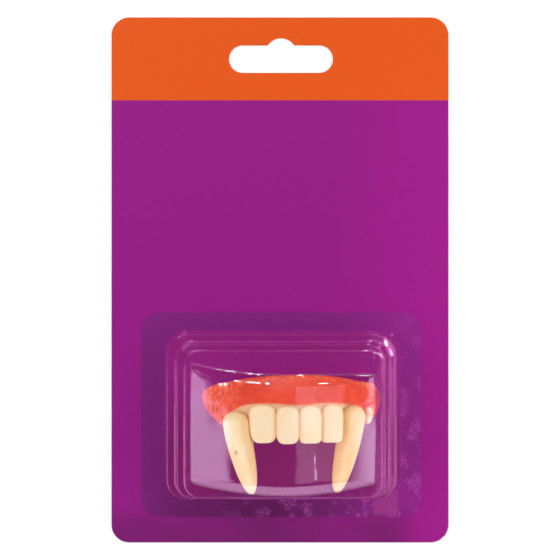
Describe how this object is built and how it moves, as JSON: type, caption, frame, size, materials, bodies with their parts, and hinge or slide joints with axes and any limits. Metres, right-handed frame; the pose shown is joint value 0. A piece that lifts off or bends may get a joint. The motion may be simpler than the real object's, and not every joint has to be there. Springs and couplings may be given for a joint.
{
  "type": "costume fang teeth in a clear blister on a hanging card",
  "caption": "Costume upper false teeth with red gum and long cream fangs, in a clear stepped blister on a rounded hanging card with an orange header and a euro slot.",
  "frame": {"origin": "middle of the card's back face, where the card lies on a surface", "axes": "+X to the card's right, +Y up the card to its hanging slot, +Z out of the printed face"},
  "size_m": [0.104, 0.162, 0.0334],
  "materials": {
    "card": "printed board, satin varnish",
    "blister": "clear formed sheet",
    "gum": "soft red plastic, satin",
    "tooth_band": "cream plastic, satin",
    "incisors": "pale cream plastic, satin",
    "fangs": "yellowed cream plastic, satin"
  },
  "bodies": {
    "root": {"card": "card", "blister": "blister", "gum": "gum", "tooth_band": "tooth_band", "incisor_lateral_left": "incisors", "incisor_central_left": "incisors", "incisor_central_right": "incisors", "incisor_lateral_right": "incisors", "fang_left": "fangs", "fang_right": "fangs"}
  },
  "joints": []
}
